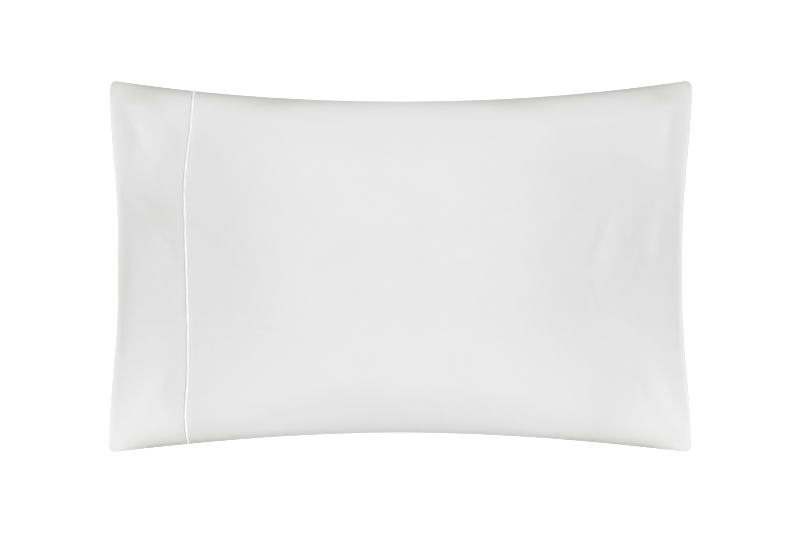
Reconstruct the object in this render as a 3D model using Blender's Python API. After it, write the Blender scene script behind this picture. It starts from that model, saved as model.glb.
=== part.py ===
"""A plain white pillowcase with a piped cuff, filled by its pillow and lying on its back.

Metres, +Z up. X runs along the long sides, with the open cuff end at -X. The origin is the middle of the
bounding box, on the surface that the case lies on. The shape of the whole filled case is worked out once, as
a skin of closed rings from the mouth to the sewn end, and every solid is cut from that skin or set inside it.
"""

import math

import bmesh
import bpy
import numpy as np
from mathutils import Vector

# The filled case, seen from above
LENGTH = 0.7120  # corner to corner along X, before the corners flare out
WIDTH = 0.4556  # corner to corner along Y, before the corners are rounded
CORNER_RADIUS = 0.0105
SIDE_DRAW = {1: 0.0284, -1: 0.0268}  # how far the middle of each long side is drawn in, by the sign of y
SIDE_POWER = {1: 2.1, -1: 1.85}  # the side at -Y comes to its middle a little more sharply
MOUTH_DRAW = 0.0125
MOUTH_STRAIGHT = 0.15  # the share of the mouth's half width that stays straight
END_DRAW = 0.0138
END_SHAPE = 1.3  # above 1, the drawn-in part of the sewn end is wider
CORNER_FLARE = {1: 0.0007, -1: 0.0016}  # how far the corners stand out beyond the ends, by the sign of y
END_LEAN = 0.0006  # both short ends lean this far towards -X at their -Y corner

# The filled case, seen from the side
TOP = 0.170  # the crown, above the surface
SEAM_HEIGHT = 0.074  # the side seams at the middle of the long sides
SEAM_FALL = {"ends": 0.008, "corners": 0.018}  # how much lower the seam is there
LIP = 0.0044  # the case along its seams, both layers together
LIP_WIDTH = 0.008  # the flat border at the mouth and at the sewn end
ALONG = {"power": 2.2, "fullness": 0.95}  # how flat the middle is, and how full it stays towards the ends
ACROSS = {"power": 2.3, "fullness": 0.58}  # the same towards the long sides, which are rounder
UNDER_DEPTH = 0.100  # how deep the underside would hang below the seam if nothing held it up
FLOOR_EASE = 0.012  # the underside turns into its flat rest over this height

# The cuff, sewn on around the open end, and the piping in its seam
CUFF_THICK = 0.0016  # two layers of cloth with the turnings between them
PIPING_RADIUS = 0.0015
GAP = 0.0003  # between any two pieces
SEAM_RUN = (
    # share of the half width, x of the seam
    {"y": -1.00, "x": -0.2572},
    {"y": -0.86, "x": -0.2588},
    {"y": -0.62, "x": -0.2543},
    {"y": -0.38, "x": -0.2533},
    {"y": -0.15, "x": -0.2537},
    {"y": 0.05, "x": -0.2549},
    {"y": 0.25, "x": -0.2565},
    {"y": 0.42, "x": -0.2578},
    {"y": 0.60, "x": -0.2558},
    {"y": 0.76, "x": -0.2520},
    {"y": 0.90, "x": -0.2507},
    {"y": 1.00, "x": -0.2503},
)

# How finely the skin is divided
CUFF_COLUMNS = (0.0, 0.0035, 0.008, 0.012, 0.020, 0.034, 0.052, 0.072)  # distances from the mouth
NOSE_COLUMN = 3  # the filling starts at this column, inside the cuff
BODY_COLUMNS = 20
HALF_ROWS = 12
PIPING_SIDES = 8

HALF_LENGTH = LENGTH / 2
HALF_WIDTH = WIDTH / 2
LIP_SHARE = 1 - LIP_WIDTH / HALF_LENGTH
RECESS = CUFF_THICK + GAP  # how far the body is set back under the cuff
TRENCH_HALF = PIPING_RADIUS + 1.2 * GAP
TOP_RISE = TOP - SEAM_HEIGHT - LIP / 2


def clear_scene():
    for obj in list(bpy.data.objects):
        bpy.data.objects.remove(obj, do_unlink=True)


# --- Outline -----------------------------------------------------------------------------------------------


def flare(t):
    """How far the ends stand out at t, the share of the half width, from -1 to 1."""
    side = 1 if t > 0 else -1
    return CORNER_FLARE[side] * max(0.0, (abs(t) - 0.8) / 0.2) ** 1.5


def mouth_x(t):
    """x of the open end at t."""
    s = max(0.0, (abs(t) - MOUTH_STRAIGHT) / (1 - MOUTH_STRAIGHT))
    return -HALF_LENGTH + MOUTH_DRAW * (1 + math.cos(math.pi * s)) / 2 + END_LEAN * t - flare(t)


def end_x(t):
    """x of the sewn end at t."""
    s = abs(t) ** END_SHAPE
    return HALF_LENGTH - END_DRAW * (1 + math.cos(math.pi * s)) / 2 + END_LEAN * t + flare(t)


def side_y(share, side):
    """y of the long side on the given side (1 or -1), at a share of the half length."""
    return side * (HALF_WIDTH - SIDE_DRAW[side] * (1 - min(1.0, abs(share)) ** SIDE_POWER[side]))


def seam_x(t):
    """x of the cuff seam at t: a cubic Hermite curve through SEAM_RUN."""
    ys = [row["y"] for row in SEAM_RUN]
    xs = [row["x"] for row in SEAM_RUN]
    slopes = np.gradient(xs, ys)
    i = min(max(int(np.searchsorted(ys, t)) - 1, 0), len(ys) - 2)
    span = ys[i + 1] - ys[i]
    u = (t - ys[i]) / span
    return (
        xs[i] * (1 + 2 * u) * (1 - u) ** 2
        + slopes[i] * span * u * (1 - u) ** 2
        + xs[i + 1] * u * u * (3 - 2 * u)
        + slopes[i + 1] * span * u * u * (u - 1)
    )


def round_corner(x, y, edge_x, edge_y):
    """Turns the square corner of the outline, at (edge_x, edge_y), into a quarter circle."""
    u = 1 + (abs(x) - abs(edge_x)) / CORNER_RADIUS
    v = 1 + (abs(y) - abs(edge_y)) / CORNER_RADIUS
    if u <= 0 or v <= 0:
        return x, y
    in_x = CORNER_RADIUS * (u - u * math.sqrt(1 - v * v / 2))
    in_y = CORNER_RADIUS * (v - v * math.sqrt(1 - u * u / 2))
    return x - math.copysign(in_x, x), y - math.copysign(in_y, y)


# --- Heights -----------------------------------------------------------------------------------------------


def bulge(share, t):
    """0 at the seams and 1 at the middle of the case."""
    along = (1 - min(1.0, abs(share) / LIP_SHARE) ** ALONG["power"]) ** ALONG["fullness"]
    across = (1 - abs(t) ** ACROSS["power"]) ** ACROSS["fullness"]
    return along * across


def seam_z(share, t):
    fall = SEAM_FALL["ends"] * share**2 + SEAM_FALL["corners"] * abs(share * t) ** 2.5
    return SEAM_HEIGHT - fall


def top_z(share, t):
    return seam_z(share, t) + LIP / 2 + TOP_RISE * bulge(share, t)


def under_z(share, t):
    """The underside: free near the seams, and pressed flat on the surface in the middle."""
    free = seam_z(share, t) - LIP / 2 - UNDER_DEPTH * bulge(share, t)
    ease = max(FLOOR_EASE - abs(free), 0.0) / FLOOR_EASE
    return max(free, 0.0) + ease * ease * FLOOR_EASE / 4


# --- Skin --------------------------------------------------------------------------------------------------


def column_positions(t):
    """x of every column of the skin at t, from the mouth to the sewn end, with the seam's three in between."""
    seam = seam_x(t)
    near, far = seam - TRENCH_HALF, seam + TRENCH_HALF
    reach = near - mouth_x(t)
    spread = reach / (CUFF_COLUMNS[-1] + 0.022)
    first_wide = NOSE_COLUMN + 1
    cuff = [
        mouth_x(t) + d * (spread if i >= first_wide else 1.0)
        for i, d in enumerate(CUFF_COLUMNS)
    ]
    shares = [math.sin(math.pi / 2 * k / BODY_COLUMNS) for k in range(1, BODY_COLUMNS + 1)]
    body = [far + (end_x(t) - far) * share for share in shares]
    return [*cuff, near, seam, far, *body]


SEAM_COLUMN = len(CUFF_COLUMNS) + 1  # near, seam and far lie at SEAM_COLUMN - 1, + 0 and + 1


def skin_point(x, t, height):
    """The point of the skin over x in row t, where height is top_z or under_z."""
    edge_x = end_x(t) if x > 0 else mouth_x(t)
    side = 1 if t > 0 else -1
    y = abs(t) * side_y(x / HALF_LENGTH, side)
    share = x / abs(edge_x)
    px, py = round_corner(x, y, edge_x, side_y(x / HALF_LENGTH, side))
    return (px, py, height(share, t))


def skin_rings():
    """Array [column, place on the ring, xyz]. A ring runs over the top from -Y to +Y and back underneath."""
    rows = [math.sin(math.pi / 2 * j / HALF_ROWS) for j in range(-HALF_ROWS, HALF_ROWS + 1)]
    over = [(t, top_z) for t in rows]
    under = [(t, under_z) for t in reversed(rows)]
    rings = [[skin_point(x, t, z) for x in column_positions(t)] for t, z in over + under]
    points = np.array(rings).transpose(1, 0, 2)
    middle = (points.min((0, 1)) + points.max((0, 1))) / 2
    points[..., :2] -= middle[:2]
    return points


def ring_faces(near, far, size):
    """Triangles between two rings, whose vertices start at near and far, near being closer to the mouth."""
    faces = []
    for k in range(size):
        following = (k + 1) % size
        faces.append((near + k, near + following, far + following))
        faces.append((near + k, far + following, far + k))
    return faces


def end_faces(first, size, turned):
    """Quads that close a ring, each between two neighbouring rows over and under."""
    faces = []
    for j in range(size // 2 - 1):
        face = (first + j, first + j + 1, first + size - 2 - j, first + size - 1 - j)
        faces.append(face[::-1] if turned else face)
    return faces


def mesh_of(name, rings, turn=None, joined_ends=False):
    """A mesh through a list of rings: closed at both ends, or with its last ring joined to its first.

    From the ring number turn on, the rings run back towards the mouth.
    """
    size = len(rings[0])
    points = [tuple(p) for ring in rings for p in ring]
    pairs = [(i, i + 1) for i in range(len(rings) - 1)]
    if joined_ends:
        pairs.append((len(rings) - 1, 0))
    faces = []
    for a, b in pairs:
        back = turn is not None and a >= turn
        near, far = (b, a) if back else (a, b)
        faces += ring_faces(near * size, far * size, size)
    if not joined_ends:
        faces += end_faces(0, size, turned=True)
        faces += end_faces((len(rings) - 1) * size, size, turned=False)
    mesh = bpy.data.meshes.new(name)
    mesh.from_pydata(points, [], faces)
    work = bmesh.new()
    work.from_mesh(mesh)
    bmesh.ops.recalc_face_normals(work, faces=work.faces)
    work.to_mesh(mesh)
    work.free()
    return mesh


def skin_frames(rings):
    """The outward normal at each point of the skin, and the factor that keeps an inset even at a bend."""
    mesh = mesh_of("skin_guide", list(rings))
    work = bmesh.new()
    work.from_mesh(mesh)
    work.normal_update()
    normals = np.array([v.normal[:] for v in work.verts]).reshape(rings.shape)
    factors = np.array([v.calc_shell_factor() for v in work.verts]).reshape(rings.shape[:2])
    work.free()
    bpy.data.meshes.remove(mesh)
    return normals, factors


# --- Pieces ------------------------------------------------------------------------------------------------


def cloth(name, colour, roughness):
    material = bpy.data.materials.new(name)
    material.use_nodes = True
    shader = material.node_tree.nodes["Principled BSDF"]
    shader.inputs["Base Color"].default_value = (*colour, 1.0)
    shader.inputs["Roughness"].default_value = roughness
    shader.inputs["Metallic"].default_value = 0.0
    material.diffuse_color = (*colour, 1.0)
    return material


def add_piece(name, mesh, material):
    mesh.name = name
    mesh.materials.append(material)
    mesh.shade_smooth()
    mesh.set_sharp_from_angle(angle=math.radians(50))
    obj = bpy.data.objects.new(name, mesh)
    bpy.context.scene.collection.objects.link(obj)
    return obj


def make_body(outer, recessed):
    """The case with its pillow in it. It is set back under the cuff and the piping, where the flap covers it."""
    far = SEAM_COLUMN + 1
    rings = [recessed[i] for i in range(NOSE_COLUMN, far + 1) if i != SEAM_COLUMN]
    rings += [outer[i] for i in range(far, len(outer))]
    return mesh_of("filled_case", rings)


def make_cuff(outer, lining):
    """The doubled cuff: a sleeve round the end of the case, open at the mouth."""
    last = SEAM_COLUMN - 1
    rings = [outer[i] for i in range(last + 1)]
    rings += [lining[i] for i in range(last, -1, -1)]
    return mesh_of("cuff_band", rings, turn=last + 1, joined_ends=True)


def make_piping(centres, normals):
    """A round cord all the way round the case, half sunk between the cuff and the body."""
    size = len(centres)
    rings = []
    for k in range(size):
        run = Vector(centres[(k + 1) % size] - centres[k - 1]).normalized()
        up = Vector(normals[k])
        up = (up - run * up.dot(run)).normalized()
        side = run.cross(up)
        angles = [2 * math.pi * (n + 0.5) / PIPING_SIDES for n in range(PIPING_SIDES)]
        centre = Vector(centres[k])
        rings.append(
            [centre + PIPING_RADIUS * (math.cos(a) * up + math.sin(a) * side) for a in angles]
        )
    return mesh_of("piping", rings, joined_ends=True)


def main():
    clear_scene()
    outer = skin_rings()
    normals, factors = skin_frames(outer)

    def inset(depth):
        return outer - normals * (depth * factors)[..., None]

    case_cloth = cloth("case_cloth", (0.80, 0.80, 0.79), 0.62)
    piping_cloth = cloth("piping_cloth", (0.92, 0.92, 0.92), 0.50)
    add_piece("filled_case", make_body(outer, inset(RECESS)), case_cloth)
    add_piece("cuff_band", make_cuff(outer, inset(CUFF_THICK)), case_cloth)
    piping_depth = RECESS - GAP - PIPING_RADIUS
    centres = inset(piping_depth)[SEAM_COLUMN]
    add_piece("piping", make_piping(centres, normals[SEAM_COLUMN]), piping_cloth)


main()
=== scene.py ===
"""The looks of a white pillowcase with a piped cuff, filled out by its pillow and lying on its back."""

import bmesh
import bpy
import numpy as np
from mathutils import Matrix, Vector


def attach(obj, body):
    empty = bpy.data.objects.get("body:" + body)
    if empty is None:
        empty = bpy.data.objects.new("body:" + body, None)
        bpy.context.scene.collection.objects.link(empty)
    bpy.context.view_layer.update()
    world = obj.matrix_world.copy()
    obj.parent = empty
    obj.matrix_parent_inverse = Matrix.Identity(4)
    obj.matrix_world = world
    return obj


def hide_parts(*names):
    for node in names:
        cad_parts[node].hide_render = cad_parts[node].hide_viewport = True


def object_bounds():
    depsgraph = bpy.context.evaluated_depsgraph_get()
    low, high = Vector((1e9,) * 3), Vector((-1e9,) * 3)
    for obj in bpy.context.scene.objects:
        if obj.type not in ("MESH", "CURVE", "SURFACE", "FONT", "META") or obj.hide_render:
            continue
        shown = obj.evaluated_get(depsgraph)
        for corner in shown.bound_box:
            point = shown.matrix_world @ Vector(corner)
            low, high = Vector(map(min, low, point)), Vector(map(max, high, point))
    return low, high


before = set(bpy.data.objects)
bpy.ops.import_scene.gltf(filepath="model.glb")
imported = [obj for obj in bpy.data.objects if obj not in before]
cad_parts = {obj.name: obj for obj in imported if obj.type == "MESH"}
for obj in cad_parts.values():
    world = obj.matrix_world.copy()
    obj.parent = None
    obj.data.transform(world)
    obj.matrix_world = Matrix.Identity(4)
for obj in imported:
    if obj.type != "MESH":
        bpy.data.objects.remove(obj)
cad_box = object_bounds()

# --- Sizes, in metres --------------------------------------------------------------------------------------

# The filled case, seen from above: X runs along the long sides, with the open cuff end at -X
LENGTH = 0.7120  # corner to corner along X, before the corners flare out
WIDTH = 0.4556  # corner to corner along Y, before the corners are rounded
CORNER_RADIUS = 0.0105
SIDE_DRAW = {1: 0.0284, -1: 0.0268}  # how far the middle of each long side is drawn in, by the sign of y
SIDE_POWER = {1: 2.1, -1: 1.85}
MOUTH_DRAW = 0.0125
MOUTH_STRAIGHT = 0.15  # the share of the mouth's half width that stays straight
END_DRAW = 0.0138
END_SHAPE = 1.3  # above 1, the drawn-in part of the sewn end is wider
CORNER_FLARE = {1: 0.0007, -1: 0.0016}  # how far the corners stand out beyond the ends, by the sign of y
FLARE_START = 0.8  # the share of the half width where that begins
END_LEAN = 0.0006  # both short ends lean this far towards -X at their -Y corner

# The filled case, seen from the side
TOP = 0.170  # the crown, above the surface
SEAM_HEIGHT = 0.074  # the side seams at the middle of the long sides
SEAM_FALL = {"ends": 0.008, "corners": 0.018}  # how much lower the seam is there
LIP = 0.0044  # both layers together, along the edge
LIP_WIDTH = 0.004  # the flat border at the mouth and at the sewn end
ALONG = {"power": 2.2, "fullness": 0.95}  # how flat the middle is, and how full it stays towards the ends
ACROSS = {"power": 2.7, "fullness": 0.62}  # the same towards the long sides
UNDER_DEPTH = 0.100  # how deep the underside would hang below the seam if nothing held it up
FLOOR_EASE = 0.012  # the underside turns into its flat rest over this height

# The cuff and its piping
CUFF_THICK = 0.0016  # two layers of cloth with the turnings between them
GAP = 0.0003  # between any two pieces
PIPING_RADIUS = 0.0015
CUFF_GROOVE = 0.0003  # the groove beside the cord is this much wider at the cuff
SEAM_RUN = (
    # share of the half width, x of the seam
    {"y": -1.00, "x": -0.2572},
    {"y": -0.86, "x": -0.2588},
    {"y": -0.62, "x": -0.2543},
    {"y": -0.38, "x": -0.2533},
    {"y": -0.15, "x": -0.2537},
    {"y": 0.05, "x": -0.2549},
    {"y": 0.25, "x": -0.2565},
    {"y": 0.42, "x": -0.2578},
    {"y": 0.60, "x": -0.2558},
    {"y": 0.76, "x": -0.2520},
    {"y": 0.90, "x": -0.2507},
    {"y": 1.00, "x": -0.2503},
)

# How finely the cloth is divided
CELL = 0.0026
HALF_ROWS = 84
ROW_COUNT = 2 * HALF_ROWS + 1
ROW_CROWDING = 0.55  # 0 spaces the rows evenly, and 1 crowds them towards the long sides
EDGE_COLUMNS = (0.0, 0.0007, 0.0016, 0.0030)  # distances from a seam or an end
HIDDEN_COLUMNS = 10  # of the lining and of the filling under the cuff
NOSE = 0.012  # the filling stops this far inside the mouth
PIPING_SIDES = 14

HALF_LENGTH = LENGTH / 2
HALF_WIDTH = WIDTH / 2
LIP_SHARE = 1 - LIP_WIDTH / HALF_LENGTH
RECESS = CUFF_THICK + GAP  # how far the filling stands back under the cuff
TRENCH_HALF = PIPING_RADIUS + 0.5 * GAP
TOP_RISE = TOP - SEAM_HEIGHT - LIP / 2
CORD_STEP = 0.0004  # half the width of the strip that gives the cord its direction
STEEPEST = 4  # rise over run: cloth steeper than this counts as no thicker

# The turned edge, from the upper panel to the seam and on to the lower one: out from the edge, and up
LIP_ROLL = (
    {"out": 0.0007, "up": 0.40},
    {"out": 0.0003, "up": 0.08},
    {"out": 0.0003, "up": -0.08},
    {"out": 0.0007, "up": -0.40},
)


# --- Outline -----------------------------------------------------------------------------------------------


def flare(t):
    """How far the corners stand out beyond the ends."""
    grow = np.clip((np.abs(t) - FLARE_START) / (1 - FLARE_START), 0, 1)
    return np.where(t > 0, CORNER_FLARE[1], CORNER_FLARE[-1]) * grow**1.5


def mouth_x(t):
    """x of the open end, where t is y as a share of the half width."""
    s = np.clip((np.abs(t) - MOUTH_STRAIGHT) / (1 - MOUTH_STRAIGHT), 0, 1)
    return -HALF_LENGTH + MOUTH_DRAW * (1 + np.cos(np.pi * s)) / 2 + END_LEAN * t - flare(t)


def end_x(t):
    """x of the sewn end."""
    s = np.abs(t) ** END_SHAPE
    return HALF_LENGTH - END_DRAW * (1 + np.cos(np.pi * s)) / 2 + END_LEAN * t + flare(t)


def side_y(share, t):
    """y of the long side on t's side, at a share of the half length."""
    run = np.minimum(np.abs(share), 1)
    plus = HALF_WIDTH - SIDE_DRAW[1] * (1 - run ** SIDE_POWER[1])
    minus = HALF_WIDTH - SIDE_DRAW[-1] * (1 - run ** SIDE_POWER[-1])
    return np.where(t > 0, plus, minus)


def seam_x(t):
    """x of the cuff's seam: a cubic Hermite curve through SEAM_RUN."""
    ys = np.array([row["y"] for row in SEAM_RUN])
    xs = np.array([row["x"] for row in SEAM_RUN])
    slopes = np.gradient(xs, ys)
    i = np.clip(np.searchsorted(ys, t) - 1, 0, len(ys) - 2)
    span = ys[i + 1] - ys[i]
    u = (t - ys[i]) / span
    return (
        xs[i] * (1 + 2 * u) * (1 - u) ** 2
        + slopes[i] * span * u * (1 - u) ** 2
        + xs[i + 1] * u * u * (3 - 2 * u)
        + slopes[i + 1] * span * u * u * (u - 1)
    )


# --- Height of the filled cloth ----------------------------------------------------------------------------


def bulge(share, t):
    """Height of the plain crown, from 0 at the edges to 1, at shares of the half length and half width."""
    along = 1 - np.minimum(np.abs(share) / LIP_SHARE, 1) ** ALONG["power"]
    across = 1 - np.minimum(np.abs(t), 1) ** ACROSS["power"]
    return along ** ALONG["fullness"] * across ** ACROSS["fullness"]


def seam_z(share, t):
    """Height of the seam, or of the level that the seams would give between them."""
    return SEAM_HEIGHT - SEAM_FALL["ends"] * share**2 - SEAM_FALL["corners"] * np.abs(share * t) ** 2.5


def on_floor(free):
    """Lets nothing sink below the surface, and turns softly into the flat rest."""
    ease = np.maximum(FLOOR_EASE - np.abs(free), 0) / FLOOR_EASE
    return np.maximum(free, 0) + ease * ease * FLOOR_EASE / 4


def soft_line(x, y, start, end, width, depth, bend=0.0):
    """A soft trough (or a ridge, where depth is negative) from start to end, which fades out at both."""
    start, end = np.array(start), np.array(end)
    run = end - start
    length = np.hypot(*run)
    run = run / length
    u = ((x - start[0]) * run[0] + (y - start[1]) * run[1]) / length
    off = (y - start[1]) * run[0] - (x - start[0]) * run[1] - bend * 4 * u * (1 - u)
    fade = np.clip(np.sin(np.pi * np.clip(u, 0, 1)), 0, 1) ** 0.8
    return -depth * fade * np.exp(-((off / width) ** 2))


SWELLS = (
    # Where the filling stands fuller than the plain crown, or leaves the cloth hollow
    {"x": -0.280, "y": 0.140, "reach_x": 0.058, "reach_y": 0.054, "height": -0.0118},
    {"x": 0.276, "y": 0.130, "reach_x": 0.056, "reach_y": 0.054, "height": -0.0108},
    {"x": -0.280, "y": -0.170, "reach_x": 0.045, "reach_y": 0.048, "height": -0.0082},
    {"x": 0.284, "y": -0.168, "reach_x": 0.046, "reach_y": 0.048, "height": -0.0088},
    {"x": -0.272, "y": -0.070, "reach_x": 0.045, "reach_y": 0.050, "height": -0.0035},
    {"x": 0.262, "y": -0.060, "reach_x": 0.045, "reach_y": 0.050, "height": -0.0035},
    {"x": -0.138, "y": 0.020, "reach_x": 0.062, "reach_y": 0.110, "height": 0.0064},
    {"x": 0.138, "y": 0.025, "reach_x": 0.062, "reach_y": 0.110, "height": 0.0062},
    {"x": -0.115, "y": -0.045, "reach_x": 0.055, "reach_y": 0.060, "height": 0.0040},
    {"x": 0.115, "y": -0.040, "reach_x": 0.055, "reach_y": 0.060, "height": 0.0036},
    {"x": 0.000, "y": 0.030, "reach_x": 0.055, "reach_y": 0.110, "height": -0.0015},
    {"x": 0.020, "y": -0.162, "reach_x": 0.090, "reach_y": 0.028, "height": 0.0050},
    {"x": -0.235, "y": 0.085, "reach_x": 0.045, "reach_y": 0.040, "height": -0.0030},
    {"x": 0.215, "y": 0.118, "reach_x": 0.040, "reach_y": 0.040, "height": -0.0030},
    {"x": -0.310, "y": 0.045, "reach_x": 0.035, "reach_y": 0.040, "height": -0.0025},
)

SIDE_ROLL_BACK = 0.12  # how far in from the long side a roll dies away
SIDE_ROLLS = (
    # The cloth stands up more steeply at the long sides: from x_start outwards, in full from x_full, and not
    # within x_end of the ends
    {"side": 1, "height": 0.0050, "reach": 0.006, "x_start": 0.040, "x_full": 0.130, "x_end": 0.110},
    {"side": -1, "height": 0.0040, "reach": 0.007, "x_start": 0.080, "x_full": 0.150, "x_end": 0.130},
)

CREASES = (
    # Troughs in the cloth, and ridges where the depth is negative
    {"start": (-0.324, -0.0710), "end": (-0.110, -0.0755), "width": 0.0045, "depth": 0.0008, "bend": 0.0},
    {"start": (-0.328, 0.087), "end": (-0.262, 0.029), "width": 0.0085, "depth": 0.0022, "bend": 0.003},
    {"start": (-0.297, 0.081), "end": (-0.222, 0.024), "width": 0.0075, "depth": 0.0016, "bend": 0.002},
    {"start": (-0.300, 0.050), "end": (-0.262, 0.000), "width": 0.0075, "depth": 0.0012, "bend": 0.001},
    {"start": (0.324, 0.094), "end": (0.262, -0.016), "width": 0.0090, "depth": 0.0024, "bend": -0.004},
    {"start": (0.252, 0.080), "end": (0.219, -0.020), "width": 0.0080, "depth": 0.0016, "bend": 0.003},
    {"start": (0.300, 0.040), "end": (0.275, -0.045), "width": 0.0080, "depth": 0.0014, "bend": 0.002},
    {"start": (-0.333, 0.085), "end": (-0.333, -0.085), "width": 0.0060, "depth": 0.0014, "bend": 0.0},
    {"start": (-0.352, 0.217), "end": (-0.285, 0.193), "width": 0.0080, "depth": 0.0030, "bend": 0.0},
    {"start": (0.352, 0.217), "end": (0.290, 0.196), "width": 0.0080, "depth": 0.0020, "bend": 0.0},
    {"start": (-0.341, 0.200), "end": (-0.306, 0.128), "width": 0.0080, "depth": -0.0018, "bend": 0.002},
    {"start": (-0.300, 0.203), "end": (-0.255, 0.150), "width": 0.0070, "depth": -0.0018, "bend": 0.0},
    {"start": (0.336, 0.196), "end": (0.318, 0.110), "width": 0.0080, "depth": -0.0010, "bend": -0.002},
    {"start": (0.140, 0.166), "end": (0.300, 0.187), "width": 0.0120, "depth": -0.0018, "bend": 0.004},
    {"start": (0.050, 0.177), "end": (0.185, 0.188), "width": 0.0070, "depth": 0.0014, "bend": 0.0},
    {"start": (-0.185, 0.188), "end": (-0.055, 0.176), "width": 0.0070, "depth": 0.0014, "bend": 0.0},
    {"start": (-0.262, -0.201), "end": (-0.020, -0.136), "width": 0.0120, "depth": -0.0018, "bend": 0.006},
    {"start": (0.020, -0.132), "end": (0.245, -0.198), "width": 0.0120, "depth": -0.0018, "bend": 0.006},
    {"start": (-0.345, -0.210), "end": (-0.265, -0.105), "width": 0.0110, "depth": 0.0022, "bend": -0.004},
    {"start": (0.345, -0.210), "end": (0.285, -0.100), "width": 0.0110, "depth": 0.0022, "bend": 0.004},
)

PULLS = {
    # Faint pulls in the cloth, most of them towards the nearest corner
    "count": 110,
    "span": (0.33, 0.20),
    "depth": 0.0011,
    "half_length": (0.012, 0.045),
    "width": (0.0035, 0.0090),
    "turn": 0.4,
}
PULL_SEED = 11

PUCKER_START = 0.002  # the gathers grow over this distance from the seam, and die away over the reach
PUCKER_REACH = 0.009
PUCKER_WANDER = {"amount": 1.5, "per_metre": 23}
# The gathers underneath lie elsewhere along the seam, and fade out near the surface the case lies on
UNDER_PUCKERS = {"shift": 0.1, "share": 0.1}
PUCKERS = (
    # Small gathers along the side seams, as waves on top of one another
    {"length": 0.0135, "height": 0.00025, "start": 0.0},
    {"length": 0.0210, "height": 0.00035, "start": 1.3},
    {"length": 0.0470, "height": 0.00040, "start": 0.7},
)


def pulls(x, y):
    """The same scatter of short soft lines each time, deeper towards the edges."""
    rng = np.random.default_rng(PULL_SEED)
    span_x, span_y = PULLS["span"]
    total = np.zeros_like(x)
    for _ in range(PULLS["count"]):
        at_x, at_y = rng.uniform(-span_x, span_x), rng.uniform(-span_y, span_y)
        corner = np.arctan2(np.sign(at_y) * HALF_WIDTH - at_y, np.sign(at_x) * HALF_LENGTH - at_x)
        angle = corner + rng.normal(0, PULLS["turn"])
        half = rng.uniform(*PULLS["half_length"])
        run = half * np.array((np.cos(angle), np.sin(angle)))
        middle = np.array((at_x, at_y))
        outer = 0.35 + 0.65 * max(abs(at_x) / HALF_LENGTH, abs(at_y) / HALF_WIDTH)
        depth = rng.uniform(-1, 1) * PULLS["depth"] * outer
        total += soft_line(x, y, middle - run, middle + run, rng.uniform(*PULLS["width"]), depth)
    return total


def puckers(x, t):
    """Height of the gathers along both side seams."""
    side = np.sign(t)
    edge = (1 - np.abs(t)) * HALF_WIDTH
    wander = PUCKER_WANDER["amount"] * np.sin(PUCKER_WANDER["per_metre"] * x + side)
    total = np.zeros_like(x)
    for row in PUCKERS:
        total += row["height"] * np.sin(2 * np.pi * x / row["length"] + row["start"] + side + wander)
    return total * (1 - np.exp(-edge / PUCKER_START)) * np.exp(-edge / PUCKER_REACH)


def smooth(u):
    """From 0 to 1 with a soft start and a soft end."""
    return u * u * (3 - 2 * u)


SEWN_FADE = {"sides": 0.10, "ends": 0.06}  # shares of the half width and half length
FOLD_FADE = 0.012  # the folds start this far from the ends


def inside(share, t):
    """1 within the cloth, and 0 at its sewn edges."""
    sides = np.clip((1 - np.abs(t)) / SEWN_FADE["sides"], 0, 1)
    return sides * np.clip((1 - np.abs(share)) / SEWN_FADE["ends"], 0, 1)


def spot(x, y, row):
    """A soft round hill of height 1 at the row's place."""
    return np.exp(-(((x - row["x"]) / row["reach_x"]) ** 2 + ((y - row["y"]) / row["reach_y"]) ** 2))


def fullness(x, y, share, t):
    """How far the filling lifts the upper cloth above its plain crown: it fades out at the edges."""
    total = sum(row["height"] * spot(x, y, row) for row in SWELLS)
    total *= inside(share, t) * (2 - inside(share, t))
    for row in SIDE_ROLLS:
        edge = np.maximum(1 - row["side"] * t, 0) * HALF_WIDTH
        grow = np.clip((np.abs(x) - row["x_start"]) / (row["x_full"] - row["x_start"]), 0, 1)
        stop = np.clip((1 - np.abs(share)) * HALF_LENGTH / row["x_end"], 0, 1)
        back = np.clip(1 - edge / SIDE_ROLL_BACK, 0, 1) ** 1.5
        total += row["height"] * (1 - np.exp(-edge / row["reach"])) * back * smooth(grow) * smooth(stop)
    return total


def folds(x, y, share, t):
    """The creases, pulls and gathers of the upper cloth."""
    total = sum(soft_line(x, y, **row) for row in CREASES)
    ends = np.clip((1 - np.abs(share)) * HALF_LENGTH / FOLD_FADE, 0, 1)
    return total + (pulls(x, y) * inside(share, t) + puckers(x, t)) * smooth(ends)


PAINTED_SHADE_AT = (0.0, 0.17, 0.24, 0.30, 0.345)  # distances from the middle of the side, for the painted shade of a row
PAINTED_SEAM_SHADE = (
    # Painted shade along the long sides: the share of light taken out of the cloth's colour at the edge, from
    # the middle of the side out to the corner, and how far in it reaches
    {"side": 1, "reach": 0.007, "painted_shades": (0.01, 0.14, 0.20, 0.24, 0.12)},
    {"side": 1, "reach": 0.014, "painted_shades": (0.00, 0.02, 0.02, 0.05, 0.08)},
    {"side": -1, "reach": 0.008, "painted_shades": (0.00, 0.05, 0.18, 0.30, 0.02)},
    {"side": -1, "reach": 0.018, "painted_shades": (0.00, 0.03, 0.06, 0.03, 0.00)},
    {"side": -1, "reach": 0.035, "painted_shades": (0.04, 0.00, 0.00, 0.00, 0.00)},
)

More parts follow.
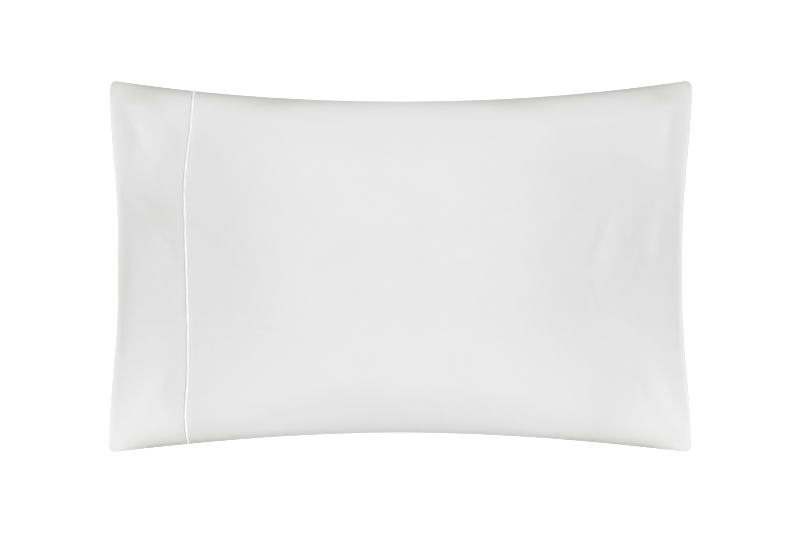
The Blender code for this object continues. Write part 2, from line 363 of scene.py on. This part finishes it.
PAINTED_SHADE_SPOTS = (
    # Painted shade in pockets: in two corners, by the +Y side, inside the mouth's edge, in soft folds and on
    # the flanks
    {"x": -0.314, "y": 0.209, "reach_x": 0.024, "reach_y": 0.009, "tone": 0.08},
    {"x": 0.318, "y": 0.209, "reach_x": 0.018, "reach_y": 0.009, "tone": 0.08},
    {"x": -0.150, "y": 0.195, "reach_x": 0.035, "reach_y": 0.010, "tone": 0.08},
    {"x": 0.140, "y": 0.194, "reach_x": 0.035, "reach_y": 0.010, "tone": 0.07},
    {"x": -0.338, "y": -0.020, "reach_x": 0.007, "reach_y": 0.085, "tone": 0.07},
    {"x": -0.300, "y": 0.060, "reach_x": 0.030, "reach_y": 0.024, "tone": 0.05},
    {"x": 0.290, "y": 0.015, "reach_x": 0.022, "reach_y": 0.050, "tone": 0.03},
    {"x": -0.225, "y": 0.000, "reach_x": 0.050, "reach_y": 0.150, "tone": 0.020},
    {"x": 0.215, "y": -0.040, "reach_x": 0.050, "reach_y": 0.120, "tone": 0.015},
)


def painted_shade_of(points):
    """The painted shade at each point of the cloth: the share of light taken out of its colour."""
    x, y = points[..., 0], points[..., 1]
    edge = np.maximum(np.abs(side_y(x / HALF_LENGTH, y)) - np.abs(y), 0)
    total = np.zeros_like(x)
    for row in PAINTED_SEAM_SHADE:
        tone = np.interp(np.abs(x), PAINTED_SHADE_AT, row["painted_shades"])
        total += np.where(y * row["side"] > 0, tone * np.exp(-edge / row["reach"]), 0)
    return total + sum(row["tone"] * spot(x, y, row) for row in PAINTED_SHADE_SPOTS)


# --- Skin --------------------------------------------------------------------------------------------------


def rows():
    """t of every row, closer together towards the long sides."""
    tau = np.linspace(-1, 1, ROW_COUNT)
    return ROW_CROWDING * np.sin(np.pi / 2 * tau) + (1 - ROW_CROWDING) * tau


def round_corner(x, y, edge_x, edge_y):
    """Moves the points within a corner radius of both edges inwards, onto a round corner."""
    u = np.maximum(1 + (np.abs(x) - np.abs(edge_x)) / CORNER_RADIUS, 0)
    v = np.maximum(1 + (np.abs(y) - np.abs(edge_y)) / CORNER_RADIUS, 0)
    in_x = CORNER_RADIUS * u * (1 - np.sqrt(1 - np.minimum(v, 1) ** 2 / 2))
    in_y = CORNER_RADIUS * v * (1 - np.sqrt(1 - np.minimum(u, 1) ** 2 / 2))
    return x - np.sign(x) * in_x, y - np.sign(y) * in_y


def sheets(x, t, depth=0.0, lift=None):
    """The upper and the lower sheet of cloth over the grid x, t, each [column, row, xyz], set in by depth.

    Without a lift they are the plain case, as it is before it is blown out and creased.
    """
    edge_x = np.where(x > 0, end_x(t), mouth_x(t))
    edge_y = side_y(x / HALF_LENGTH, t) - depth
    y = t * edge_y
    share = x / np.abs(edge_x)
    px, py = round_corner(x, y, edge_x, edge_y)
    swell = bulge(share, t)
    seam = seam_z(share, t)
    upper = seam + LIP / 2 + TOP_RISE * swell
    lower = on_floor(seam - LIP / 2 - UNDER_DEPTH * swell)
    if depth:
        upper = np.maximum(upper - depth * stretch(px, py, upper), seam + LIP / 2 - depth)
        lower = np.minimum(lower + depth * stretch(px, py, lower), seam - LIP / 2 + depth)
    upper = upper + fullness(px, py, share, t)
    if lift is not None:
        held = inside(share, t)
        upper = upper + folds(px, py, share, t) + held * read_lift(lift[0], share, t)
        lower = lower + held * read_lift(lift[1], share, t) * np.clip(lower / FLOOR_EASE, 0, 1)
        gathers = puckers(px + UNDER_PUCKERS["shift"], t)
        lower = lower + np.minimum(gathers, UNDER_PUCKERS["share"] * lower)
    return np.stack((px, py, upper), -1), np.stack((px, py, lower), -1)


def stretch(x, y, z):
    """How much thicker a sloping cloth is when it is measured upright."""
    across = np.gradient(z, axis=1) / np.gradient(y, axis=1)
    along = np.gradient(z, axis=0) / np.gradient(x, axis=0)
    return np.sqrt(1 + np.minimum(across**2 + along**2, STEEPEST**2))


def outward(edge):
    """The level direction out of an edge, which is a line of points with the case on its left."""
    run = np.gradient(edge[:, :2], axis=0)
    out = np.stack((run[:, 1], -run[:, 0]), -1)
    return out / np.linalg.norm(out, axis=1, keepdims=True)


def side_roll(upper, lower, side, roll):
    """The turned edge along a long side, [column, point, xyz], from the upper sheet to the lower one."""
    place = -1 if side > 0 else 0
    top, bottom = upper[:, place], lower[:, place]
    out = outward(top[::-1])[::-1] if side > 0 else outward(top)
    middle, half = (top + bottom) / 2, (top - bottom)[:, 2:] / 2
    points = []
    for row in roll:
        point = middle.copy()
        point[:, :2] += out * row["out"]
        point[:, 2:] += half * 2 * row["up"]
        points.append(point)
    return np.stack(points, 1)


def rings(x, t, lift, depth=0.0, rolled=True):
    """The whole skin as closed rings: over the top from -Y to +Y, and back underneath."""
    upper, lower = sheets(x, t, depth, lift)
    roll = LIP_ROLL if rolled else [{"out": 0.0, "up": row["up"]} for row in LIP_ROLL]
    plus, minus = side_roll(upper, lower, 1, roll), side_roll(upper, lower, -1, roll)
    return np.concatenate((upper, plus, lower[:, ::-1], minus[:, ::-1]), 1)


def steps(start, stop, cell):
    """Even shares from start to stop, about a cell apart, without stop."""
    count = max(2, round(float(np.mean(np.abs(stop - start))) / cell))
    return [start + (stop - start) * k / count for k in range(count)]


def graded(start, stop, offsets, cell):
    """Columns from start to stop, a cell apart, with closer ones at the given distances from both."""
    near = [start + d for d in offsets]
    far = [stop - d for d in reversed(offsets)]
    return near[:-1] + steps(near[-1], far[0], cell) + far


def mesh_piece(name, ring_list, joined=False):
    """A closed mesh through rings of equal size, capped at both ends unless the last ring joins the first."""
    size = len(ring_list[0])
    points = np.concatenate(ring_list)
    count = len(ring_list)
    k = np.arange(size)
    faces = []
    for a in range(count if joined else count - 1):
        b = (a + 1) % count
        quad = np.stack((a * size + k, a * size + (k + 1) % size, b * size + (k + 1) % size, b * size + k), 1)
        faces.append(quad)
    if not joined:
        faces.append(cap_faces(0, size)[:, ::-1])
        faces.append(cap_faces((count - 1) * size, size))
    faces = np.concatenate(faces)
    mesh = bpy.data.meshes.new(name)
    mesh.from_pydata(points.tolist(), [], faces.tolist())
    mesh.validate()
    mesh.shade_smooth()
    obj = bpy.data.objects.new(name, mesh)
    bpy.context.scene.collection.objects.link(obj)
    return obj


def cap_faces(first, size):
    """Quads across a ring, from each place on the upper sheet to the one under it."""
    upper = first + np.arange(ROW_COUNT)
    lower = first + ROW_COUNT + len(LIP_ROLL) + np.arange(ROW_COUNT)[::-1]
    faces = [np.stack((upper[:-1], upper[1:], lower[1:], lower[:-1]), 1)]
    plus = first + np.arange(ROW_COUNT - 1, ROW_COUNT + len(LIP_ROLL) + 1)
    minus = first + np.array([*range(2 * ROW_COUNT + len(LIP_ROLL) - 1, size), 0])
    for loop in (plus, minus):
        pairs = len(loop) // 2
        for i in range(pairs - 1):
            faces.append(np.array([[loop[i], loop[i + 1], loop[-2 - i], loop[-1 - i]]]))
    return np.concatenate(faces)


def cloth_size(ring_list):
    """Lengths along and around the cloth, in metres, for each point of the rings."""
    grid = np.array(ring_list)
    around = np.linalg.norm(np.diff(grid, axis=1), axis=2).cumsum(1)
    around = np.concatenate((np.zeros((len(grid), 1)), around), 1)
    along = np.linalg.norm(np.diff(grid, axis=0), axis=2).cumsum(0)
    along = np.concatenate((np.zeros((1, grid.shape[1])), along))
    return np.stack((along, around), -1)


def lay_weave(obj, coordinates):
    """Keeps the cloth's own coordinates on the piece, so that the weave runs with the cloth."""
    layer = obj.data.attributes.new("weave", "FLOAT2", "POINT")
    layer.data.foreach_set("vector", coordinates.reshape(-1))


def lay_painted_shade(obj, ring_list):
    """Keeps the painted shade of each point on the piece, for the cloth's colour."""
    layer = obj.data.attributes.new("tone", "FLOAT", "POINT")
    layer.data.foreach_set("value", painted_shade_of(np.concatenate(ring_list)))


# --- Filling out -------------------------------------------------------------------------------------------

BLOWN = {"columns": 97, "rows": 65, "frames": 20, "most": 0.004}  # a coarse case, and how far it may move
RESTING = 0.002  # cloth lower than this lies on the surface, and stays there
BLOWN_CLOTH = {
    "quality": 5,
    "mass": 0.15,
    "air_damping": 4.0,
    "tension_stiffness": 80.0,
    "compression_stiffness": 80.0,
    "shear_stiffness": 27.0,
    "bending_stiffness": 2.0,
    "use_pressure": True,
    "uniform_pressure_force": 1.0,
}


def coarse_case():
    """The two sheets as one closed mesh, with a group that holds the seams and the flat rest."""
    t = np.linspace(-1, 1, BLOWN["rows"])
    share = np.linspace(-1, 1, BLOWN["columns"])[:, None]
    x = share * np.where(share > 0, end_x(t), -mouth_x(t))
    points = np.concatenate([sheet.reshape(-1, 3) for sheet in sheets(x, np.broadcast_to(t, x.shape))])
    place = np.arange(x.size).reshape(x.shape)
    top = np.stack((place[:-1, :-1], place[1:, :-1], place[1:, 1:], place[:-1, 1:]), -1).reshape(-1, 4)
    seam = np.concatenate((place[:, 0], place[-1, 1:], place[-2::-1, -1], place[0, -2:0:-1]))
    wall = np.stack((seam, seam + x.size, np.roll(seam, -1) + x.size, np.roll(seam, -1)), 1)
    faces = np.concatenate((top, top[:, ::-1] + x.size, wall))
    mesh = bpy.data.meshes.new("coarse_case")
    mesh.from_pydata(points.tolist(), [], faces.tolist())
    case = bpy.data.objects.new("coarse_case", mesh)
    bpy.context.scene.collection.objects.link(case)
    outward_normals(case)
    resting = np.flatnonzero(points[:, 2] < RESTING)
    held = case.vertex_groups.new(name="held")
    held.add([*seam.tolist(), *(seam + x.size).tolist(), *resting.tolist()], 1.0, "REPLACE")
    return case, points


def blow_out():
    """How far the pillow's pressure moves the cloth up or down, in metres: [sheet, column, row]."""
    case, points = coarse_case()
    cloth = case.modifiers.new("cloth", "CLOTH")
    for name, value in BLOWN_CLOTH.items():
        setattr(cloth.settings, name, value)
    cloth.settings.effector_weights.gravity = 0
    cloth.settings.vertex_group_mass = "held"
    cloth.point_cache.frame_start = 1
    cloth.point_cache.frame_end = BLOWN["frames"]
    scene = bpy.context.scene
    scene.frame_end = BLOWN["frames"]
    for number in range(1, BLOWN["frames"] + 1):
        scene.frame_set(number)
    blown = case.evaluated_get(bpy.context.evaluated_depsgraph_get())
    mesh = blown.to_mesh()
    moved = np.empty(points.size)
    mesh.vertices.foreach_get("co", moved)
    blown.to_mesh_clear()
    bpy.data.objects.remove(case)
    scene.frame_set(1)
    rise = moved.reshape(-1, 3)[:, 2] - points[:, 2]
    return np.clip(rise, -BLOWN["most"], BLOWN["most"]).reshape(2, BLOWN["columns"], BLOWN["rows"])


def read_lift(lift, share, t):
    """The lift at each place of a finer grid, by smooth cubic steps between the coarse ones."""
    total = np.zeros(np.broadcast(share, t).shape)
    near = []
    for at, count in ((share, BLOWN["columns"]), (t, BLOWN["rows"])):
        at = np.clip((at + 1) / 2, 0, 1) * (count - 1)
        low = np.floor(at).astype(int)
        u = at - low
        weights = ((1 - u) ** 3, 3 * u**3 - 6 * u**2 + 4, 1 + 3 * u + 3 * u**2 - 3 * u**3, u**3)
        near.append([(np.clip(low + k - 1, 0, count - 1), weights[k] / 6) for k in range(4)])
    for column, column_weight in near[0]:
        for row, row_weight in near[1]:
            total += column_weight * row_weight * lift[column, row]
    return total


# --- Materials ---------------------------------------------------------------------------------------------


class Value:
    """A number or a colour that changes over a surface. Arithmetic on it adds Math nodes to its tree."""

    def __init__(self, nodes, socket):
        self.nodes = nodes
        self.socket = socket

    def _math(self, operation, first, second):
        return self.nodes.node("ShaderNodeMath", {"operation": operation}, {0: first, 1: second})

    def __add__(self, other):
        return self._math("ADD", self, other)

    __radd__ = __add__

    def __sub__(self, other):
        return self._math("SUBTRACT", self, other)

    def __rsub__(self, other):
        return self._math("SUBTRACT", other, self)

    def __mul__(self, other):
        return self._math("MULTIPLY", self, other)

    __rmul__ = __mul__


class Nodes:
    """A node tree, and the one way to add nodes to it."""

    def __init__(self, owner):
        owner.use_nodes = True
        self.tree = owner.node_tree

    def node(self, kind, settings, sockets, output=0):
        node = self.tree.nodes.new(kind)
        for name, value in settings.items():
            if name == "stops":
                self.set_stops(node.color_ramp.elements, value)
            else:
                setattr(node, name, value)
        for socket, value in sockets.items():
            self.feed(node.inputs[socket], value)
        return Value(self, node.outputs[output])

    def set_stops(self, elements, stops):
        elements[0].position, elements[1].position = stops[0][0], stops[-1][0]
        for position, _ in stops[1:-1]:
            elements.new(position)
        for element, (_, level) in zip(elements, stops):
            element.color = (level, level, level, 1)

    def feed(self, socket, value):
        if isinstance(value, Value):
            self.tree.links.new(value.socket, socket)
        else:
            socket.default_value = value


class Finish(Nodes):
    """A material with one main shader."""

    def __init__(self, name, **shader_values):
        self.material = bpy.data.materials.new(name)
        super().__init__(self.material)
        self.shader = self.tree.nodes["Principled BSDF"]
        for socket, value in shader_values.items():
            self.set(socket.replace("_", " "), value)

    def set(self, socket, value):
        self.feed(self.shader.inputs[socket], value)

    def attribute(self, name, output):
        return self.node("ShaderNodeAttribute", {"attribute_name": name}, {}, output)

    def noise(self, place, scale, detail, roughness):
        sockets = {"Vector": place, "Scale": scale, "Detail": detail, "Roughness": roughness}
        return self.node("ShaderNodeTexNoise", {}, sockets)

    def threads(self, place, scale, direction):
        """Ridges from 0 to 1, one for each thread."""
        settings = {"wave_type": "BANDS", "bands_direction": direction, "wave_profile": "SIN"}
        sockets = {"Vector": place, "Scale": scale, "Distortion": 0.6, "Detail": 1.0, "Detail Scale": 0.4}
        return self.node("ShaderNodeTexWave", settings, sockets, "Fac")

    def colour_mix(self, factor, low, high):
        ends = [end if isinstance(end, Value) else (*end, 1.0) for end in (low, high)]
        sockets = {"Factor": factor, 6: ends[0], 7: ends[1]}
        return self.node("ShaderNodeMix", {"data_type": "RGBA"}, sockets, 2)


def make_case_cloth():
    """White cotton sateen: fine threads, faint slubs, a soft crumple and a soft sheen, with painted shade in
    its colour.
    """
    finish = Finish(
        "case_cloth", IOR=1.46, Specular_IOR_Level=0.3, Sheen_Weight=0.04, Sheen_Roughness=0.45
    )
    cloth = finish.attribute("weave", "Vector")
    place = finish.node("ShaderNodeTexCoord", {}, {}, "Object")
    clouds = finish.noise(place, 14.0, 3.0, 0.55)
    slubs = finish.noise(cloth, 900.0, 2.0, 0.6)
    warp = finish.threads(cloth, 1100.0, "X")
    weft = finish.threads(cloth, 700.0, "Y")
    weave = 0.55 * warp + 0.30 * weft + 0.6 * slubs
    crumple = finish.noise(place, 95.0, 3.0, 0.6)
    soft = finish.node("ShaderNodeBump", {}, {"Strength": 1.0, "Distance": 0.0006, "Height": crumple})
    fine = {"Strength": 0.25, "Distance": 0.0002, "Height": weave, "Normal": soft}
    finish.set("Normal", finish.node("ShaderNodeBump", {}, fine))
    finish.set("Roughness", 0.52 + 0.12 * clouds)
    # Painted shade: the attribute read here tints the white towards yellow-grey where it passes a small
    # share, and then darkens it towards black by that share.
    tone = finish.attribute("tone", "Fac")
    lit = finish.colour_mix(clouds, (0.804, 0.804, 0.804), (0.834, 0.834, 0.834))
    painted_shade_tinted = finish.colour_mix(20 * tone - 0.35, lit, (0.810, 0.815, 0.778))
    finish.set("Base Color", finish.colour_mix(tone, painted_shade_tinted, (0.0, 0.0, 0.0)))
    return finish.material


def make_piping_cloth():
    """Bright satin thread, wound tightly across the cord, with a faint painted glow that makes it brighter
    than the lamps light it.
    """
    finish = Finish("piping_cloth", IOR=1.5, Specular_IOR_Level=0.5)
    cloth = finish.attribute("weave", "Vector")
    turns = finish.threads(cloth, 800.0, "X")
    uneven = finish.noise(cloth, 300.0, 2.0, 0.5)
    bump = {"Strength": 0.5, "Distance": 0.0003, "Height": turns + 0.4 * uneven}
    finish.set("Normal", finish.node("ShaderNodeBump", {}, bump))
    finish.set("Roughness", 0.32 + 0.12 * uneven)
    finish.set("Base Color", finish.colour_mix(turns, (0.93, 0.93, 0.93), (0.98, 0.98, 0.98)))
    # Painted light: the cord glows faintly, though it is no lamp.
    finish.set("Emission Color", (1.0, 1.0, 1.0, 1.0))
    finish.set("Emission Strength", 0.14)
    return finish.material


# --- Pieces ------------------------------------------------------------------------------------------------


def end_roll(last_ring):
    """Rings that carry the turned edge round the sewn end, from the last ring outwards."""
    roll_size = len(LIP_ROLL)
    upper_places = slice(0, ROW_COUNT)
    lower_places = slice(ROW_COUNT + roll_size, 2 * ROW_COUNT + roll_size)
    plus_places = slice(ROW_COUNT, ROW_COUNT + roll_size)
    minus_places = slice(len(last_ring) - roll_size, len(last_ring))
    upper, lower = last_ring[upper_places], last_ring[lower_places][::-1]
    middle = (upper + lower) / 2
    run = outward(middle)
    rolled = []
    for row in LIP_ROLL[: roll_size // 2]:
        ring = last_ring.copy()
        out = np.zeros((ROW_COUNT, 3))
        out[:, :2] = run * row["out"]
        factor = row["up"] * 2
        ring[upper_places] = middle + (upper - middle) * factor + out
        ring[lower_places] = (middle + (lower - middle) * factor + out)[::-1]
        for places, corner in ((plus_places, ROW_COUNT - 1), (minus_places, 0)):
            side = ring[places]
            side[:, 2] = middle[corner, 2] + (side[:, 2] - middle[corner, 2]) * factor
            side[:, :2] += out[corner, :2]
        rolled.append(ring)
    return rolled


def make_pieces():
    """The case, the cuff and the cord, centred on the CAD."""
    t = rows()
    seam, mouth, end = seam_x(t), mouth_x(t), end_x(t)
    near, far = seam - TRENCH_HALF - CUFF_GROOVE, seam + TRENCH_HALF
    lift = blow_out()

    def skin(columns, **inner):
        return rings(np.array(columns), np.broadcast_to(t, (len(columns), len(t))), lift, **inner)

    cuff_out = skin(graded(mouth, near, EDGE_COLUMNS, CELL))
    hidden = steps(mouth, near, (near[0] - mouth[0]) / HIDDEN_COLUMNS)
    cuff_in = skin([*hidden, near], depth=CUFF_THICK, rolled=False)
    body_out = skin(graded(far, end, EDGE_COLUMNS, CELL))
    nose = steps(mouth + NOSE, far, (far[0] - mouth[0] - NOSE) / HIDDEN_COLUMNS)
    body_in = skin([*nose, far], depth=RECESS, rolled=False)
    trench = skin([seam - CORD_STEP, seam, seam + CORD_STEP], depth=RECESS - GAP - PIPING_RADIUS)

    middle = (np.array(cad_box[0]) + np.array(cad_box[1])) / 2
    every = np.concatenate((cuff_out.reshape(-1, 3), body_out.reshape(-1, 3)))
    shift = middle - (every.min(0) + every.max(0)) / 2
    shift[2] = 0
    cuff_out, cuff_in, body_out, body_in, trench = (
        part + shift for part in (cuff_out, cuff_in, body_out, body_in, trench)
    )

    case = [*body_in, *body_out, *end_roll(body_out[-1])]
    body = mesh_piece("filled_case_cloth", case)
    lay_weave(body, cloth_size(case))
    lay_painted_shade(body, case)
    cuff = [*cuff_out, *cuff_in[::-1]]
    sleeve = mesh_piece("cuff_cloth", cuff, joined=True)
    lay_weave(sleeve, cloth_size(cuff))
    lay_painted_shade(sleeve, cuff)
    cord, cord_rings = make_piping(trench)
    lay_weave(cord, cloth_size(cord_rings))
    return body, sleeve, cord


def make_piping(trench):
    """The cord in the cuff's seam: rings around the line through the middle of the trench."""
    line = trench[1]
    run = np.roll(line, -1, 0) - np.roll(line, 1, 0)
    run /= np.linalg.norm(run, axis=1, keepdims=True)
    side = trench[2] - trench[0]
    side -= run * (side * run).sum(1, keepdims=True)
    side /= np.linalg.norm(side, axis=1, keepdims=True)
    up = np.cross(side, run)
    angles = 2 * np.pi * np.arange(PIPING_SIDES) / PIPING_SIDES
    cord_rings = []
    for k in range(len(line)):
        around = np.outer(np.cos(angles), up[k]) + np.outer(np.sin(angles), side[k])
        cord_rings.append(line[k] + PIPING_RADIUS * around)
    return mesh_piece("piping_cord", cord_rings, joined=True), cord_rings


def outward_normals(obj):
    """Turns every face outwards, as the volume shows."""
    work = bmesh.new()
    work.from_mesh(obj.data)
    bmesh.ops.recalc_face_normals(work, faces=work.faces)
    if work.calc_volume(signed=True) < 0:
        bmesh.ops.reverse_faces(work, faces=work.faces)
    work.to_mesh(obj.data)
    work.free()


def dress(obj, material, node):
    """Gives a piece its finish and puts it in place of its CAD node."""
    outward_normals(obj)
    obj.data.materials.append(material)
    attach(obj, "root")
    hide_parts(node)


# --- Floor, light and camera -------------------------------------------------------------------------------

FLOOR_HALF = 40
FLOOR_DROP = 0.0002  # just under the surface that the case lies on

LIGHTS = (
    # Soft rectangular lamps: power in watts
    {
        "name": "back", "at": (0.0, 1.3, 1.0), "target": (0, 0, 0.1),
        "size": (1.2, 0.5), "power": 16.0,
    },
    {
        "name": "front", "at": (0.0, -1.3, 1.0), "target": (0, 0, 0.1),
        "size": (1.2, 0.5), "power": 11.2,
    },
    {
        "name": "left", "at": (-1.5, 0.0, 0.9), "target": (0, 0, 0.1),
        "size": (0.8, 0.5), "power": 5.1,
    },
    {
        "name": "right", "at": (1.5, 0.0, 0.9), "target": (0, 0, 0.1),
        "size": (0.8, 0.5), "power": 4.8,
    },
    {
        "name": "front_left", "at": (-0.85, -0.75, 0.55), "target": (-0.2805, -0.15, 0.08),
        "size": (0.4, 0.3), "power": 1.9,
    },
    {
        "name": "front_right", "at": (0.85, -0.75, 0.55), "target": (0.2805, -0.15, 0.08),
        "size": (0.4, 0.3), "power": 2.1,
    },
)
SKY = (
    # Brightness of the surroundings, by how high they are: -1 is straight down, 1 straight up
    {"height": -1.0, "level": 0.25},
    {"height": -0.03, "level": 0.25},
    {"height": 0.00, "level": 0.55},
    {"height": 0.09, "level": 0.55},
    {"height": 0.12, "level": 0.01},
    {"height": 0.50, "level": 0.01},
    {"height": 1.00, "level": 0.48},
)

CAMERA_HEIGHT = 2.364
CAMERA_LENS = 85  # mm, on a sensor 36 mm wide


def make_floor():
    """A pale floor that glows a little and throws no light on the case."""
    mesh = bpy.data.meshes.new("floor")
    corners = [(-FLOOR_HALF, -FLOOR_HALF, 0), (FLOOR_HALF, -FLOOR_HALF, 0)]
    corners += [(FLOOR_HALF, FLOOR_HALF, 0), (-FLOOR_HALF, FLOOR_HALF, 0)]
    mesh.from_pydata(corners, [], [(0, 1, 2, 3)])
    floor = bpy.data.objects.new("floor", mesh)
    floor.location.z = -FLOOR_DROP
    bpy.context.scene.collection.objects.link(floor)
    finish = Finish("pale_floor", Roughness=0.9)
    finish.set("Base Color", (0.92, 0.92, 0.92, 1.0))
    finish.set("Emission Color", (1.0, 1.0, 1.0, 1.0))
    finish.set("Emission Strength", 0.66)
    mesh.materials.append(finish.material)
    floor.visible_diffuse = False
    floor.visible_glossy = False


def make_lights():
    """Lamps on all sides, and a soft sky. The two low lamps each look at their own side of the case."""
    for row in LIGHTS:
        data = bpy.data.lights.new(row["name"], "AREA")
        data.shape = "RECTANGLE"
        data.size, data.size_y = row["size"]
        data.energy = row["power"]
        lamp = bpy.data.objects.new(row["name"], data)
        lamp.location = row["at"]
        lamp.rotation_euler = (Vector(row["target"]) - lamp.location).to_track_quat("-Z", "Y").to_euler()
        bpy.context.scene.collection.objects.link(lamp)
    world = bpy.data.worlds.new("studio")
    sky = Nodes(world)
    direction = sky.node("ShaderNodeTexCoord", {}, {}, "Generated")
    height = sky.node("ShaderNodeSeparateXYZ", {}, {0: direction}, "Z")
    stops = [((row["height"] + 1) / 2, row["level"]) for row in SKY]
    level = sky.node("ShaderNodeValToRGB", {"stops": stops}, {0: 0.5 * height + 0.5})
    sky.feed(sky.tree.nodes["Background"].inputs["Color"], level)
    bpy.context.scene.world = world


def make_camera():
    """Straight above the middle of the case."""
    data = bpy.data.cameras.new("camera")
    data.lens = CAMERA_LENS
    data.sensor_width = 36
    camera = bpy.data.objects.new("camera", data)
    camera.location = (0, 0, CAMERA_HEIGHT)
    bpy.context.scene.collection.objects.link(camera)
    bpy.context.scene.camera = camera
    bpy.context.scene.view_settings.view_transform = "Standard"


def main():
    body, sleeve, cord = make_pieces()
    case_cloth = make_case_cloth()
    dress(body, case_cloth, "filled_case")
    dress(sleeve, case_cloth, "cuff_band")
    dress(cord, make_piping_cloth(), "piping")
    make_floor()
    make_lights()
    make_camera()


main()
